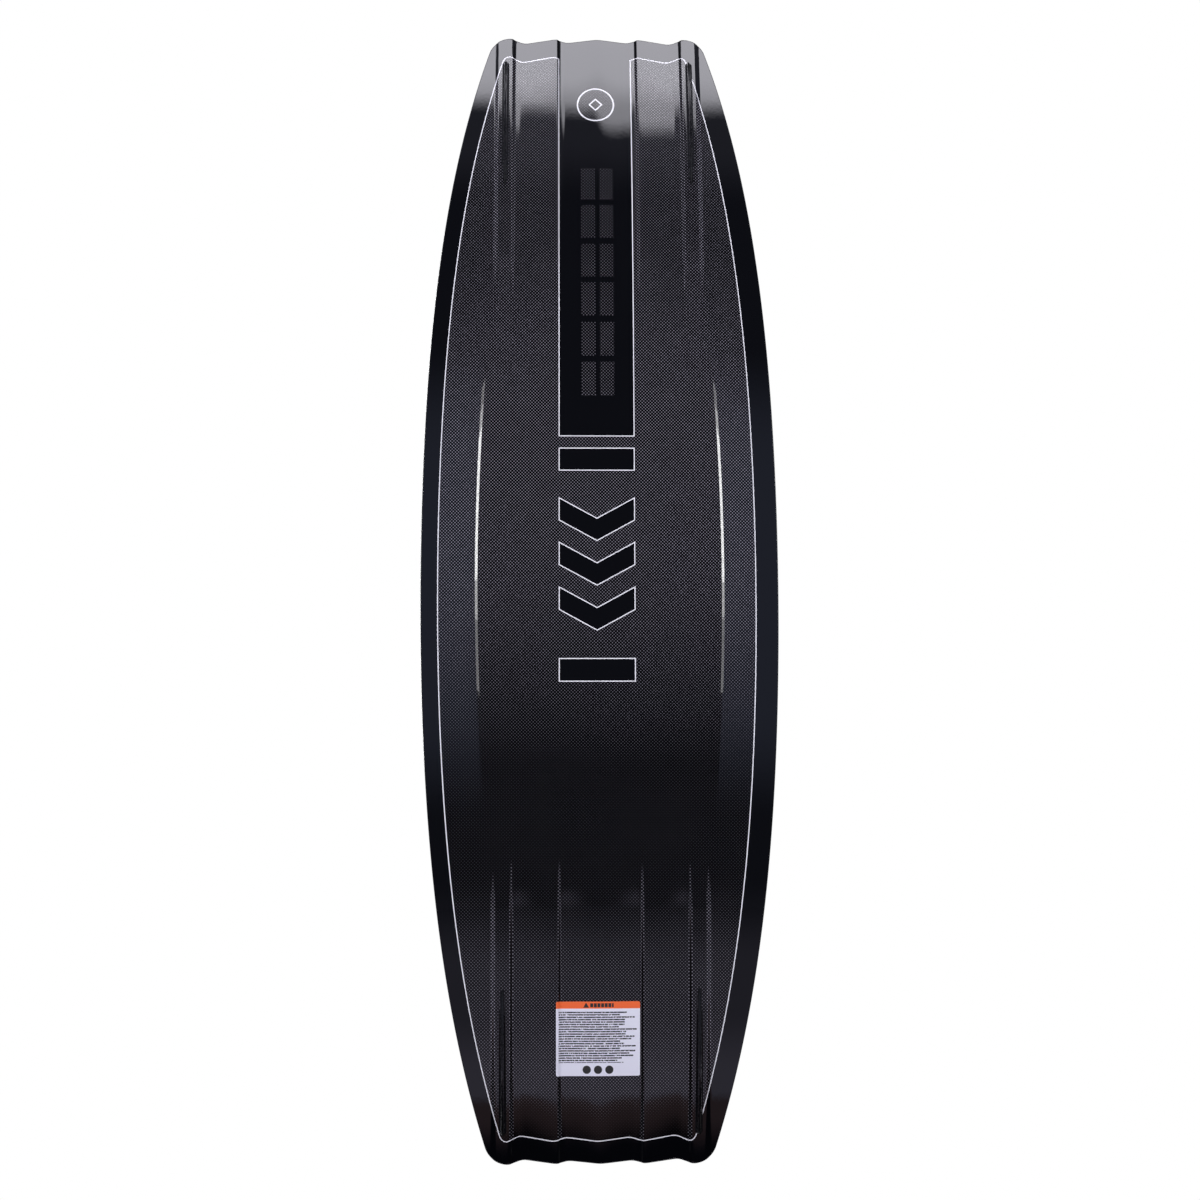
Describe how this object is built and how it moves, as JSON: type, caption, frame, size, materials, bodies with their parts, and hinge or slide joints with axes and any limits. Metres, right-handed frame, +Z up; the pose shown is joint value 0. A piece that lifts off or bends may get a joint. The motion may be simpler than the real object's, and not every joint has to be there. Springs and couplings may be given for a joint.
{
  "type": "kiteboard",
  "caption": "Bare twin-tip water sports board with squared ends, end channels, moulded side fins and threaded insert rows for bindings.",
  "frame": {"origin": "lowest point of the base at mid-length, on the centreline", "axes": "+X towards the tip, +Y towards the left of a rider facing the tip, +Z up through the deck"},
  "size_m": [1.44, 0.445, 0.0682],
  "materials": {
    "base_sheet": "gloss",
    "carbon_ply": "plain weave in clear resin",
    "foam_core": "closed-cell foam",
    "stringer": "satin",
    "rail": "satin",
    "insert_block": "high-density foam",
    "insert": "stainless, machined",
    "deck_ply": "biaxial glass cloth in resin",
    "deck_sheet": "gloss with satin foot zones",
    "fin": "gloss",
    "label": "laminated sticker"
  },
  "bodies": {
    "root": {"base_sheet": "base_sheet", "base_ply": "carbon_ply", "core_center": "foam_core", "core_left": "foam_core", "core_right": "foam_core", "stringer_left": "stringer", "stringer_right": "stringer", "rail_left": "rail", "rail_right": "rail", "tip_spacer": "rail", "tail_spacer": "rail", "insert_block_front_left": "insert_block", "insert_block_front_right": "insert_block", "insert_block_rear_left": "insert_block", "insert_block_rear_right": "insert_block", "front_inserts": "insert", "rear_inserts": "insert", "deck_ply": "deck_ply", "deck_sheet": "deck_sheet", "fin_front_left": "fin", "fin_front_right": "fin", "fin_rear_left": "fin", "fin_rear_right": "fin", "care_label": "label"}
  },
  "joints": []
}
